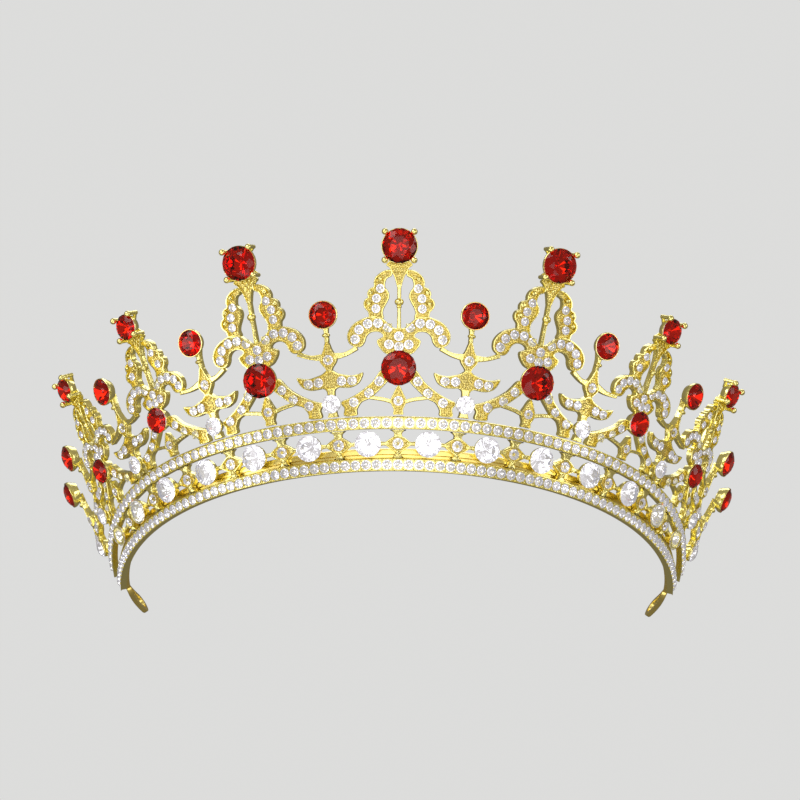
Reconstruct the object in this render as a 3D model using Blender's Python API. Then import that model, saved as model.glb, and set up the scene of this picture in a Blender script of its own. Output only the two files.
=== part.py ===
"""A flared, open-backed gold crown set with clear and red stones. Metres, +Z up, front towards -Y.

The crown is drawn flat and then bent. A flat shape lies in (u, v, e): u runs along the band to the
right, v runs up the flare and e points outwards. wrap() lays it on the cone that rises from the
base curve, a horseshoe in the plane z = 0.
"""

import math

import bmesh
import bpy
from mathutils import Matrix, Vector

MM = 0.001

# Base curve: the foot of the lower rail, from the front centre to either end.
FRONT_RADIUS = 67.4 * MM
END_OPENING = 0.29
MOTIF_PITCH = 13.6 * MM
PITCHES_TO_TIP = 8.1
HALF_LENGTH = PITCHES_TO_TIP * MOTIF_PITCH
FLARE = math.radians(26.8)
CURVE_STEP = 0.5 * MM
CURVE_SPARE = 10 * MM

# Fits: touching pieces keep this gap.
GAP = 0.3 * MM

# Castings.
CASTING_THICKNESS = 1.4 * MM
CASTING_BACK = -0.9 * MM
CASTING_FRONT = CASTING_BACK + CASTING_THICKNESS

# Band: two rails with a row of large clear stones between them.
RAIL_HEIGHT = 3.0 * MM
RAIL_TIP_SHARE = 0.75
BAND_STONE = 6.2 * MM
BAND_STONE_DEPTH = 2.0 * MM
STONE_OVERHANG = 0.8 * MM
BAND_GAP = BAND_STONE + 2 * GAP
BAND_TOP = RAIL_HEIGHT + BAND_GAP + RAIL_HEIGHT
BAND_STONES_A_SIDE = 7
STONE_STEP = HALF_LENGTH / 8.26
CUP_WALL = 0.3 * MM
FOOT_ZONE = 6.0 * MM
LONGEST_FACET = 7.0 * MM
DROP_START = 0.49 * HALF_LENGTH
DROP_POWER = 2.17
RAIL_CUTS = 44

# Headband behind the band, with a flat eyelet at each end.
STRIP_WIDTH = 3.6 * MM
STRIP_THICKNESS = 1.2 * MM
STRIP_FOOT = 1.6 * MM
STRIP_CUTS = 52
EYELET_LENGTH = 17.0 * MM
EYELET_WIDTH = 5.6 * MM
EYELET_SLOT = 2.2 * MM
EYELET_NECK = 3.5 * MM
EYELET_END_BAR = 1.8 * MM
EYELET_RADIUS = 45.0 * MM

# Stones of the upstanding motifs.
LARGE_RED = 8.3 * MM
SMALL_RED = 6.2 * MM
FLOWER_RED = 6.3 * MM
BASE_STONE = 4.4 * MM
RED_DEPTH_SHARE = 0.26

# Shares of a stone's depth and of its width.
CROWN_SHARE = 0.45
GIRDLE_SHARE = 0.1
TABLE_SHARE = 0.58
BACK_SHARE = 0.6

# Cups, as shares of their stone's diameter, and the claws round the top stones.
STONE_SEAT = CASTING_FRONT + 0.5 * MM
CUP_FOOT_SHARE = 0.3
CUP_RIM_SHARE = 0.44
CUP_SIDES = 12
CLAW_RADIUS = 0.55 * MM
CLAW_ARM_HALF_WIDTH = 0.5 * MM
NECK_TO_STONE_SHARE = 0.42

# Where the motifs stand, in pitches from the front centre, how large each is cast, and a sprig's
# lean in degrees.
FLEUR_PLACES = ((0.0, 1.0), (2.08, 0.985), (4.06, 0.85), (5.94, 0.80))
LARGE_FLEURS = 2
SPRIG_PLACES = (
    (1.035, 1.0, 0.0), (3.05, 0.98, 0.0), (4.96, 0.95, 2.0), (6.74, 0.89, 9.0), (7.72, 0.85, 7.0),
)

# Fleur, right half, in millimetres above the band: (u, v, half width) along each limb.
FLEUR_NECK = 36.0
FLEUR_LOW_STONE = 11.0
FLEUR_ARM_END = 12.85
FLEUR_PETAL_END = (10.1, 16.2)
WING = (
    (2.2, 33.4, 1.0), (4.2, 31.9, 1.6), (4.6, 30.1, 1.3), (4.9, 28.6, 2.3), (5.4, 26.1, 2.7),
    (5.6, 23.8, 1.8), (5.4, 21.8, 1.6),
)
PETAL = ((0.0, 19.0, 1.5), (3.6, 20.8, 1.5), (6.8, 21.2, 1.75), (9.3, 20.0, 2.2), (9.9, 18.1, 1.9))
BOAT = ((0.0, 15.9, 1.7), (2.4, 16.3, 1.4), (4.9, 17.4, 0.35))
SPINE = (
    (0.0, 37.0, 1.6), (0.0, 34.2, 2.0), (0.0, 32.3, 1.2), (0.0, 29.7, 0.5), (0.0, 18.0, 0.5),
    (0.0, 12.0, 1.6),
)
HEART = ((0.0, 27.3, 0.5), (0.0, 26.4, 1.1), (0.0, 25.4, 0.5))
ARM = (
    (1.2, 11.2, 1.2), (2.6, 10.0, 1.5), (4.6, 7.7, 1.45), (6.8, 5.1, 1.35), (9.9, 3.6, 1.25),
    (FLEUR_ARM_END, 3.0, 0.8),
)
ARM_FOOT = ((10.2, 3.4, 1.0), (10.8, 1.3, 1.1), (10.9, 0.3, 1.5))
PEAR = ((0.0, 9.0, 0.7), (0.0, 5.4, 1.1), (0.0, 3.4, 1.9), (0.0, 1.5, 1.0), (0.0, 0.3, 1.3))
BRIDGE = ((0.0, 3.1, 0.5), (3.3, 3.5, 0.45), (7.4, 4.2, 0.5))

# Sprig, centre and right half, in millimetres above the band.
SPRIG_STONE = 24.1
SPRIG_BASE = 3.15
STEM = (
    (0.0, 22.0, 1.6), (0.0, 20.4, 0.8), (0.0, 19.3, 1.05), (0.0, 18.1, 0.5), (0.0, 15.4, 1.2),
    (0.0, 13.5, 2.1), (0.0, 11.2, 0.9),
)
LOWER_STEM = ((0.0, 11.6, 1.0), (0.0, 9.0, 1.7), (0.0, 6.4, 0.9), (0.0, 3.0, 0.9), (0.0, 0.3, 1.2))
LEAF = ((0.0, 8.7, 1.6), (3.0, 8.4, 1.7), (5.2, 8.4, 1.35), (6.9, 9.0, 0.75), (7.9, 9.9, 0.1))
LINK_START = (0.9, 13.2, 0.7)
LINK_HALF_WIDTH = 0.5
LINK_SAG = 0.7
LINK_END_DROP = 0.4

# Lattice between the rails: half widths in millimetres.
LOZENGE = (
    (-1.0, 0.5), (-0.52, 0.55), (-0.25, 1.25), (0.0, 1.75), (0.25, 1.25), (0.52, 0.55), (1.0, 0.5),
)
STRUT_WAIST = 0.55
STRUT_FOOT = 1.1

SHARP_ANGLE = math.radians(30)
GOLD = (0.93, 0.66, 0.16)
CLEAR = (0.93, 0.95, 0.97)
RED = (0.62, 0.02, 0.02)


# ---------------------------------------------------------------- scene

def clear_scene():
    for item in list(bpy.data.objects):
        bpy.data.objects.remove(item, do_unlink=True)


def new_collection(name):
    collection = bpy.data.collections.new(name)
    bpy.context.scene.collection.children.link(collection)
    return collection


def new_material(name, colour, roughness, metallic):
    material = bpy.data.materials.new(name)
    material.use_nodes = True
    shader = material.node_tree.nodes["Principled BSDF"]
    shader.inputs["Base Color"].default_value = (*colour, 1.0)
    shader.inputs["Roughness"].default_value = roughness
    shader.inputs["Metallic"].default_value = metallic
    material.diffuse_color = (*colour, 1.0)
    return material


def add_object(name, mesh, collection, material=None):
    """Links an object. A casting is shaded smooth along its bends and sharp at its edges."""
    item = bpy.data.objects.new(name, mesh)
    collection.objects.link(item)
    if material:
        mesh.materials.append(material)
        mesh.shade_smooth()
        mesh.set_sharp_from_angle(angle=SHARP_ANGLE)
    return item


# ---------------------------------------------------------------- base curve and cone

def curvature(s):
    """The ring opens out towards its ends, then turns in again along the eyelet."""
    if s > HALF_LENGTH:
        return 1 / EYELET_RADIUS
    return (1 - END_OPENING * (s / HALF_LENGTH) ** 4) / FRONT_RADIUS


def trace_base_curve():
    """(heading, x, y) at every CURVE_STEP along the right half."""
    heading, x, y = 0.0, 0.0, 0.0
    stations = [(heading, x, y)]
    count = math.ceil((HALF_LENGTH + EYELET_NECK + EYELET_LENGTH + CURVE_SPARE) / CURVE_STEP)
    for step in range(count):
        turn = curvature((step + 0.5) * CURVE_STEP) * CURVE_STEP
        middle = heading + turn / 2
        x += math.cos(middle) * CURVE_STEP
        y += math.sin(middle) * CURVE_STEP
        heading += turn
        stations.append((heading, x, y))
    return stations


BASE_CURVE = trace_base_curve()


def base_frame(s):
    """The foot of the flare at s, its direction along the band and its outward direction."""
    side = -1 if s < 0 else 1
    place = min(abs(s) / CURVE_STEP, len(BASE_CURVE) - 1.001)
    low = int(place)
    share = place - low
    heading, x, y = (a + (b - a) * share for a, b in zip(BASE_CURVE[low], BASE_CURVE[low + 1]))
    foot = Vector((side * x, y, 0))
    along = Vector((math.cos(heading), side * math.sin(heading), 0))
    outward = Vector((side * math.sin(heading), -math.cos(heading), 0))
    return foot, along, outward


def wrap(s, v, e):
    """The point at s along the base curve, v up the flare and e out of its surface."""
    foot, _, outward = base_frame(s)
    reach = v * math.sin(FLARE) + e * math.cos(FLARE)
    rise = v * math.cos(FLARE) - e * math.sin(FLARE)
    return foot + outward * reach + Vector((0, 0, rise))


def spread(s, v):
    """How much longer the cone is round at v than its base curve at s."""
    return 1 + v * math.sin(FLARE) * curvature(abs(s))


def surface_matrix(s, v, e):
    """Stands a stone on the flare: X along the band, Y up the flare, Z outwards."""
    _, along, outward = base_frame(s)
    up = outward * math.sin(FLARE) + Vector((0, 0, math.cos(FLARE)))
    out = outward * math.cos(FLARE) - Vector((0, 0, math.sin(FLARE)))
    turn = Matrix((along, up, out)).transposed().to_4x4()
    return Matrix.Translation(wrap(s, v, e)) @ turn


def stand_motif(mesh, s, scale, lean=0.0):
    """Bends a flat motif round the cone at s, its feet along the sloping top of the upper rail."""
    turn = Matrix.Rotation(-lean, 2)
    pivot = Vector((0, SPRIG_BASE * scale * MM))
    for vertex in mesh.vertices:
        u, v = turn @ (vertex.co.xy - pivot) + pivot
        place = s + u / spread(s, band_top(s) + v)
        follow = max(0.0, 1 - v / FOOT_ZONE)
        height = band_top(s) + (band_top(place) - band_top(s)) * follow + GAP + v
        vertex.co = wrap(place, height, vertex.co.z)


# ---------------------------------------------------------------- flat shapes

END_ROUNDNESS = 0.85


def smooth_stations(stations, samples):
    """Points of a Catmull-Rom curve through the stations, the stations among them."""
    knots = [stations[0], *stations, stations[-1]]
    points = []
    for a, b, c, d in zip(knots, knots[1:], knots[2:], knots[3:]):
        for step in range(samples):
            points.append(tuple(cubic(*values, step / samples) for values in zip(a, b, c, d)))
    return points + [stations[-1]]


def cubic(before, start, stop, after, t):
    """A share t of the way from start to stop, smoothly past the values before and after."""
    bow = 2 * before - 5 * start + 4 * stop - after
    twist = 3 * start - before - 3 * stop + after
    return 0.5 * (2 * start + (stop - before) * t + bow * t**2 + twist * t**3)


def limb_outline(stations, samples=2, round_ends=True):
    """The outline of a limb that runs through stations (u, v, half width)."""
    points = smooth_stations(stations, samples)
    centres = [Vector(p[:2]) for p in points]
    left, right = [], []
    for index, (centre, point) in enumerate(zip(centres, points)):
        ahead = centres[min(index + 1, len(centres) - 1)]
        behind = centres[max(index - 1, 0)]
        side = (ahead - behind).normalized().orthogonal() * point[2]
        left.append(centre + side)
        right.append(centre - side)
    if round_ends:
        along = (centres[-1] - centres[-2]).normalized()
        left.append(centres[-1] + along * points[-1][2] * END_ROUNDNESS)
        along = (centres[0] - centres[1]).normalized()
        right.insert(0, centres[0] + along * points[0][2] * END_ROUNDNESS)
    return left + right[::-1]


def disc_outline(centre, radius, sides):
    turns = (2 * math.pi * step / sides for step in range(sides))
    return [Vector(centre) + radius * Vector((math.cos(a), math.sin(a))) for a in turns]


def mirrored(stations):
    return tuple((-u, v, *rest) for u, v, *rest in stations)


def plate(outlines, back, front, unit=MM):
    """A flat plate between two depths. An outline inside another is a hole in it."""
    curve = bpy.data.curves.new("plate", "CURVE")
    curve.dimensions = "2D"
    curve.fill_mode = "BOTH"
    curve.extrude = (front - back) / 2
    for outline in outlines:
        spline = curve.splines.new("POLY")
        spline.points.add(len(outline) - 1)
        for point, place in zip(spline.points, outline):
            point.co = (place[0] * unit, place[1] * unit, 0, 1)
        spline.use_cyclic_u = True
    holder = bpy.data.objects.new("plate", curve)
    bpy.context.scene.collection.objects.link(holder)
    mesh = mesh_of(holder)
    bpy.data.objects.remove(holder)
    mesh.transform(Matrix.Translation((0, 0, (front + back) / 2)))
    return mesh


def mesh_of(item):
    """The object's evaluated shape as a closed mesh of its own."""
    bpy.context.view_layer.update()
    graph = bpy.context.evaluated_depsgraph_get()
    mesh = bpy.data.meshes.new_from_object(item.evaluated_get(graph))
    shape = bmesh.new()
    shape.from_mesh(mesh)
    bmesh.ops.remove_doubles(shape, verts=shape.verts, dist=1e-6)
    bmesh.ops.recalc_face_normals(shape, faces=shape.faces)
    shape.to_mesh(mesh)
    shape.free()
    return mesh


def cone(place, low, high, low_radius, high_radius, sides):
    """A round post or cup standing out of the flat from depth low to depth high."""
    shape = bmesh.new()
    middle = Matrix.Translation((*place, (low + high) / 2))
    bmesh.ops.create_cone(
        shape, cap_ends=True, segments=sides, radius1=low_radius, radius2=high_radius,
        depth=high - low, matrix=middle @ Matrix.Rotation(math.pi / sides, 4, "Z"),
    )
    mesh = bpy.data.meshes.new("cone")
    shape.to_mesh(mesh)
    shape.free()
    return mesh


def united(meshes):
    """One closed mesh from several that overlap."""
    first, *others = meshes
    tools = new_collection("tools")
    for mesh in others:
        add_object("tool", mesh, tools)
    body = bpy.data.objects.new("united", first)
    bpy.context.scene.collection.objects.link(body)
    modifier = body.modifiers.new("join", "BOOLEAN")
    modifier.operation = "UNION"
    modifier.solver = "EXACT"
    modifier.operand_type = "COLLECTION"
    modifier.collection = tools
    mesh = mesh_of(body)
    for item in [body, *tools.objects]:
        bpy.data.objects.remove(item, do_unlink=True)
    bpy.data.collections.remove(tools)
    return plain_facets(mesh)


def plain_facets(mesh):
    """Merges flat facets, then cuts them every LONGEST_FACET along u so that the shape can bend."""
    shape = bmesh.new()
    shape.from_mesh(mesh)
    flat = math.radians(0.5)
    bmesh.ops.dissolve_limit(shape, angle_limit=flat, verts=shape.verts, edges=shape.edges)
    count = math.ceil(max(abs(vertex.co.x) for vertex in shape.verts) / LONGEST_FACET)
    for cut in range(1 - count, count):
        geometry = [*shape.verts, *shape.edges, *shape.faces]
        place = (cut * LONGEST_FACET, 0, 0)
        bmesh.ops.bisect_plane(shape, geom=geometry, plane_co=place, plane_no=(1, 0, 0), dist=2e-5)
    bmesh.ops.triangulate(shape, faces=shape.faces)
    shape.to_mesh(mesh)
    shape.free()
    return mesh


# ---------------------------------------------------------------- stones

def gem_mesh(name, diameter, depth, sides, material):
    """A round brilliant with its culet cut flat: Z outwards, its back at z = 0."""
    shape = bmesh.new()
    radius = diameter / 2
    pavilion = depth * (1 - CROWN_SHARE - GIRDLE_SHARE)
    bmesh.ops.create_cone(
        shape, cap_ends=True, segments=sides, radius1=radius * BACK_SHARE, radius2=radius,
        depth=pavilion, matrix=Matrix.Translation((0, 0, pavilion / 2)),
    )
    for rise, share in ((depth * GIRDLE_SHARE, 1.0), (depth * CROWN_SHARE, TABLE_SHARE)):
        table = max(shape.faces, key=lambda face: face.calc_center_median().z)
        made = bmesh.ops.extrude_discrete_faces(shape, faces=[table])["faces"][0]
        bmesh.ops.translate(shape, verts=made.verts, vec=(0, 0, rise))
        bmesh.ops.scale(shape, verts=made.verts, vec=(share, share, 1))
    mesh = bpy.data.meshes.new(name)
    shape.to_mesh(mesh)
    shape.free()
    mesh.materials.append(material)
    return mesh


def add_stone(name, mesh, s, v, seat, collection):
    stone = add_object(name, mesh, collection)
    stone.matrix_world = surface_matrix(s, v, seat + GAP)


# ---------------------------------------------------------------- band

def rail_drop(s):
    """How far the upper rail has come down at s: at its tip it lies on the lower rail."""
    share = max(0.0, (abs(s) - DROP_START) / (HALF_LENGTH - DROP_START))
    return (BAND_GAP - GAP) * share ** DROP_POWER


def band_gap(s):
    return BAND_GAP - rail_drop(s)


def band_top(s):
    """Height of the upper rail's top edge."""
    return BAND_TOP - rail_drop(s)


def bar_mesh(half_length, cuts):
    """A bar along u from -half_length to half_length, one unit high and one deep."""
    shape = bmesh.new()
    bmesh.ops.create_cube(shape, size=1.0, matrix=Matrix.Diagonal((2 * half_length, 1, 1, 1)))
    long_edges = [edge for edge in shape.edges if edge.calc_length() > half_length]
    bmesh.ops.subdivide_edges(shape, edges=long_edges, cuts=cuts, use_grid_fill=True)
    mesh = bpy.data.meshes.new("bar")
    shape.to_mesh(mesh)
    shape.free()
    return mesh


def make_rail(name, foot_of, flat_foot, collection, material):
    """A rail along the whole band. A flat foot is cut level, to stand on."""
    mesh = bar_mesh(HALF_LENGTH, RAIL_CUTS)
    for vertex in mesh.vertices:
        s, v, e = vertex.co
        depth = CASTING_FRONT if e > 0 else CASTING_BACK
        height = foot_of(s) + (rail_height(s) if v > 0 else 0)
        if flat_foot and v < 0:
            height = depth * math.tan(FLARE)
        vertex.co = wrap(s, height, depth)
    return add_object(name, mesh, collection, material)


def rail_height(s):
    """The rails narrow towards their tips."""
    share = max(0.0, (abs(s) - DROP_START) / (HALF_LENGTH - DROP_START))
    return RAIL_HEIGHT * (1 - (1 - RAIL_TIP_SHARE) * share ** 4)


def band_stone_places():
    """(name, s, diameter, cup diameter) of the large clear stones.

    A cup fits between the rails. Its stone stands in front of them, and may reach over their edges.
    """
    for side, sign in (("left", -1), ("right", 1)):
        for number in range(BAND_STONES_A_SIDE):
            s = sign * (number + 0.5) * STONE_STEP
            room = band_gap(s) - 2 * GAP - 2 * rail_slope_margin(s)
            diameter = min(BAND_STONE, room + 2 * STONE_OVERHANG)
            yield f"clear_stone_{side}_{number + 1}", s, diameter, min(diameter, room)


def rail_slope_margin(s):
    """The upper rail slopes over the last stones, so they stay a little further below it."""
    slope = abs(rail_drop(s + BAND_STONE / 2) - rail_drop(s - BAND_STONE / 2)) / BAND_STONE
    return slope * BAND_STONE / 4


def band_middle(s):
    return RAIL_HEIGHT + band_gap(s) / 2


def lattice_mesh():
    """Cups for the large stones, lozenges between them, and struts to both rails."""
    shapes = []
    for _, s, _, cup_diameter in band_stone_places():
        outline = disc_outline((s, band_middle(s)), cup_diameter / 2 - CUP_WALL, 14)
        shapes.append(plate([outline], CASTING_BACK, CASTING_FRONT, unit=1))
    for number in range(1 - BAND_STONES_A_SIDE, BAND_STONES_A_SIDE):
        s = number * STONE_STEP
        middle = band_middle(s)
        bar = [(s + share * STONE_STEP / 2, middle, width * MM) for share, width in LOZENGE]
        low, high = RAIL_HEIGHT + GAP, band_top(s) - RAIL_HEIGHT - GAP
        waists = [(s, height, STRUT_WAIST * MM) for height in ((low + middle) / 2, (high + middle) / 2)]
        strut = [(s, low, STRUT_FOOT * MM), *waists, (s, high, STRUT_FOOT * MM)]
        for stations in (bar, strut):
            outline = limb_outline(stations, 1, False)
            shapes.append(plate([outline], CASTING_BACK, CASTING_FRONT, unit=1))
    return united(shapes)


def make_band(collection, metal, glass):
    make_rail("lower_rail", lambda s: 0, True, collection, metal["rails"])
    make_rail("upper_rail", lambda s: band_top(s) - rail_height(s), False, collection, metal["rails"])
    lattice = lattice_mesh()
    for vertex in lattice.vertices:
        vertex.co = wrap(vertex.co.x, vertex.co.y, vertex.co.z)
    add_object("band_lattice", lattice, collection, metal["lattice"])
    for name, s, diameter, _ in band_stone_places():
        gem = gem_mesh("clear_gem", diameter, BAND_STONE_DEPTH, 8, glass["clear"])
        add_stone(name, gem, s, band_middle(s), CASTING_FRONT, collection)


def make_headband(collection, material):
    """A flat strip along the back of the castings that ends in an eyelet past either tip."""
    front = CASTING_BACK - GAP
    back = front - STRIP_THICKNESS
    middle = STRIP_FOOT + STRIP_WIDTH / 2
    end = HALF_LENGTH + EYELET_NECK
    strip = bar_mesh(end + EYELET_WIDTH / 4, STRIP_CUTS)
    strip.transform(Matrix.Diagonal((1, STRIP_WIDTH, STRIP_THICKNESS, 1)))
    strip.transform(Matrix.Translation((0, middle, (front + back) / 2)))
    eyelets = []
    for sign in (-1, 1):
        start, stop = end, end + EYELET_LENGTH
        loop = stadium(start, stop, EYELET_WIDTH / 2)
        slot = stadium(start + EYELET_END_BAR, stop - EYELET_END_BAR, EYELET_SLOT / 2)
        rings = [[Vector((sign * p.x, p.y + middle)) for p in ring] for ring in (loop, slot)]
        eyelets.append(plate(rings, back, front, unit=1))
    mesh = united([strip, *eyelets])
    for vertex in mesh.vertices:
        vertex.co = wrap(vertex.co.x, vertex.co.y, vertex.co.z)
    add_object("headband", mesh, collection, material)


def stadium(start, stop, radius):
    """A slot outline along u with round ends and a point every few millimetres on its long sides."""
    points = []
    for centre, turn in ((stop - radius, -90), (start + radius, 90)):
        for step in range(7):
            angle = math.radians(turn + 30 * step)
            points.append(Vector((centre + radius * math.cos(angle), radius * math.sin(angle))))
        far = start + radius if turn < 0 else stop - radius
        side = points[-1].y
        for share in (0.25, 0.5, 0.75):
            points.append(Vector((centre + (far - centre) * share, side)))
    return points


# ---------------------------------------------------------------- motifs

def cup(place, stone):
    """A tapering cup under a stone of this diameter."""
    foot, rim = stone * CUP_FOOT_SHARE, stone * CUP_RIM_SHARE
    return cone(place, CASTING_BACK, STONE_SEAT, foot, rim, CUP_SIDES)


def claws(place, stone):
    """Four claws that stand round a stone, each on an arm from under its middle."""
    tip = STONE_SEAT + GAP + stone * RED_DEPTH_SHARE
    reach = stone / 2 + GAP + CLAW_RADIUS
    shapes = []
    for quarter in range(4):
        angle = math.radians(45 + 90 * quarter)
        foot = (place[0] + reach * math.cos(angle), place[1] + reach * math.sin(angle))
        shapes.append(cone(foot, CASTING_BACK, tip, CLAW_RADIUS, CLAW_RADIUS, 6))
        arm = [(*place, CLAW_ARM_HALF_WIDTH), (*foot, CLAW_ARM_HALF_WIDTH)]
        shapes.append(plate([limb_outline(arm, 1)], CASTING_BACK, CASTING_FRONT, unit=1))
    return shapes


def fleur_mesh(scale, stone, reaches):
    """The large motif, flat, with its foot at v = 0. reaches are its arms' lengths, left and right."""
    limbs = [limb_outline(SPINE, 1, False), limb_outline(HEART, 1), limb_outline(PEAR, 1, False)]
    limbs += [limb_outline((*mirrored(BOAT)[:0:-1], *BOAT), 2, False)]
    for side, reach in zip((-1, 1), reaches):
        stretch = reach / (FLEUR_ARM_END * scale * MM)
        for stations, samples in ((WING, 1), (PETAL, 2), (BRIDGE, 1)):
            limbs.append(limb_outline([(side * u, v, w) for u, v, w in stations], samples))
        for stations in (ARM, ARM_FOOT):
            limbs.append(limb_outline([(side * u * stretch, v, w) for u, v, w in stations], 1, False))
    shapes = [plate([outline], CASTING_BACK, CASTING_FRONT, unit=MM * scale) for outline in limbs]
    top, low = fleur_stone_heights(scale, stone)
    shapes += [cup((0, top), stone), cup((0, low), stone), *claws((0, top), stone)]
    return united(shapes)


def fleur_stone_heights(scale, stone):
    """The upper stone stands on the neck, whatever its size."""
    return FLEUR_NECK * scale * MM + stone * NECK_TO_STONE_SHARE, FLEUR_LOW_STONE * scale * MM


def sprig_mesh(scale, links):
    """The small motif, flat, with its foot at v = 0. links are the far ends of its two link bars."""
    limbs = [limb_outline(STEM, 1, False), limb_outline(LOWER_STEM, 1, False)]
    limbs += [limb_outline(LEAF, 1, False), limb_outline(mirrored(LEAF), 1, False)]
    shapes = [plate([outline], CASTING_BACK, CASTING_FRONT, unit=MM * scale) for outline in limbs]
    for side, end in zip((-1, 1), links):
        if end is None:
            continue
        start = Vector((side * LINK_START[0], LINK_START[1])) * scale * MM
        middle = (start + end) / 2 - Vector((0, LINK_SAG * MM))
        width = LINK_HALF_WIDTH * MM
        bar = [(*start, LINK_START[2] * MM), (*middle, width), (*end, width)]
        shapes.append(plate([limb_outline(bar, 1, False)], CASTING_BACK, CASTING_FRONT, unit=1))
    shapes.append(cup((0, SPRIG_STONE * scale * MM), FLOWER_RED))
    shapes.append(cup((0, SPRIG_BASE * scale * MM), BASE_STONE))
    return united(shapes)


def fleur_places():
    """(name, s, scale, stone) of every fleur, from left to right."""
    found = []
    for number, (place, scale) in enumerate(FLEUR_PLACES):
        stone = LARGE_RED if number < LARGE_FLEURS else SMALL_RED
        for side, sign in (("left", -1), ("right", 1)) if number else (("centre", 1),):
            name = f"{side}_{number}" if number else side
            found.append((name, sign * place * MOTIF_PITCH, scale, stone))
    return sorted(found, key=lambda row: row[1])


def sprig_places():
    """(name, s, scale, lean) of every sprig, from left to right."""
    found = []
    for number, (place, scale, lean) in enumerate(SPRIG_PLACES):
        for side, sign in (("left", -1), ("right", 1)):
            row = (f"{side}_{number + 1}", sign * place * MOTIF_PITCH, scale, sign * math.radians(lean))
            found.append(row)
    return sorted(found, key=lambda row: row[1])


def nearest(places, s, side):
    """The neighbour of s on that side, or None."""
    beyond = [row for row in places if side * (row[1] - s) > 0]
    return min(beyond, key=lambda row: abs(row[1] - s)) if beyond else None


def arm_reach(s, side):
    """An arm ends just short of the next sprig's base cup."""
    neighbour = nearest(sprig_places(), s, side)
    height = band_top(s) + SPRIG_BASE * MM
    return abs(neighbour[1] - s) * spread(s, height) - BASE_STONE / 2 - GAP


def link_end(s, scale, lean, side):
    """A link ends just short of the next fleur's petal, given in the sprig's own flat frame."""
    neighbour, rival = nearest(fleur_places(), s, side), nearest(sprig_places(), s, side)
    if neighbour is None or rival and abs(rival[1] - s) < abs(neighbour[1] - s):
        return None
    _, there, size, _ = neighbour
    height = band_top(there) + (FLEUR_PETAL_END[1] * size - LINK_END_DROP) * MM
    out = there - side * FLEUR_PETAL_END[0] * size * MM / spread(there, height)
    flat = Vector(((out - s) * spread(s, height), height - band_top(s) - GAP))
    pivot = Vector((0, SPRIG_BASE * scale * MM))
    return Matrix.Rotation(lean, 2) @ (flat - pivot) + pivot


def make_fleurs(collection, metal, glass):
    for name, s, scale, stone in fleur_places():
        mesh = fleur_mesh(scale, stone, [arm_reach(s, side) for side in (-1, 1)])
        stand_motif(mesh, s, scale)
        add_object(f"fleur_{name}", mesh, collection, metal["fleurs"])
        gem = gem_mesh("red_gem", stone, stone * RED_DEPTH_SHARE, 10, glass["red"])
        for word, height in zip(("top", "low"), fleur_stone_heights(scale, stone)):
            place = band_top(s) + GAP + height
            add_stone(f"red_{word}_{name}", gem, s, place, STONE_SEAT, collection)


def make_sprigs(collection, metal, glass):
    gem = gem_mesh("flower_gem", FLOWER_RED, FLOWER_RED * RED_DEPTH_SHARE, 10, glass["red"])
    for name, s, scale, lean in sprig_places():
        links = [link_end(s, scale, lean, side) for side in (-1, 1)]
        mesh = sprig_mesh(scale, links)
        stand_motif(mesh, s, scale, lean)
        add_object(f"sprig_{name}", mesh, collection, metal["sprigs"])
        rise = (SPRIG_STONE - SPRIG_BASE) * scale * MM
        height = band_top(s) + GAP + SPRIG_BASE * scale * MM + rise * math.cos(lean)
        place = s + rise * math.sin(lean) / spread(s, height)
        add_stone(f"red_flower_{name}", gem, place, height, STONE_SEAT, collection)


def centre_on_origin(collection):
    """Moves the crown so that the origin is under the middle of its box."""
    bpy.context.view_layer.update()
    depths = []
    for item in collection.objects:
        depths += [(item.matrix_world @ vertex.co).y for vertex in item.data.vertices]
    shift = Matrix.Translation((0, -(min(depths) + max(depths)) / 2, 0))
    for item in collection.objects:
        item.matrix_world = shift @ item.matrix_world


def main():
    clear_scene()
    crown = new_collection("crown")
    metal = {}
    for name in ("rails", "lattice", "fleurs", "sprigs", "headband"):
        metal[name] = new_material(f"{name}_gold", GOLD, 0.25, 1.0)
    glass = {
        "clear": new_material("clear_glass", CLEAR, 0.05, 0.0),
        "red": new_material("red_glass", RED, 0.05, 0.0),
    }
    make_headband(crown, metal["headband"])
    make_band(crown, metal, glass)
    make_fleurs(crown, metal, glass)
    make_sprigs(crown, metal, glass)
    centre_on_origin(crown)


main()
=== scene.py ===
"""Looks of a flared gold crown set with clear and red stones, built round its CAD frame.

Shapes are drawn flat in millimetres and then bent: u runs along the band, v up the flare and e out
of its surface. wrap() lays a point on the cone that rises from the horseshoe-shaped foot.
"""

import math

import bmesh
import bpy
from mathutils import Matrix, Vector


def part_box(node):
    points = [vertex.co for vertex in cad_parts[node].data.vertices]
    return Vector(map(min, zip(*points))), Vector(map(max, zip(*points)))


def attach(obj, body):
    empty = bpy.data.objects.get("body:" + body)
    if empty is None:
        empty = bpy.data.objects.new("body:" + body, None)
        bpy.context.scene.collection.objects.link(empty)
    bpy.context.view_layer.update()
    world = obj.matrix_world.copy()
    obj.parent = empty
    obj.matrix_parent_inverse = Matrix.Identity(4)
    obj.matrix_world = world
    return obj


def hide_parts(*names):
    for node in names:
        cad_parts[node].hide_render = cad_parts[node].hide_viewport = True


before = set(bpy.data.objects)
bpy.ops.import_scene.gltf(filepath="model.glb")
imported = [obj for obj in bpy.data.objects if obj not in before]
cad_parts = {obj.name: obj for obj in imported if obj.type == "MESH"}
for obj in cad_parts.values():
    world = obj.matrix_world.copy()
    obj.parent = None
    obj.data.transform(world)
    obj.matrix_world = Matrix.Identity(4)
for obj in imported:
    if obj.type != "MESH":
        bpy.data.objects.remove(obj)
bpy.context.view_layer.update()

# ---------------------------------------------------------------- sizes, in millimetres

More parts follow.
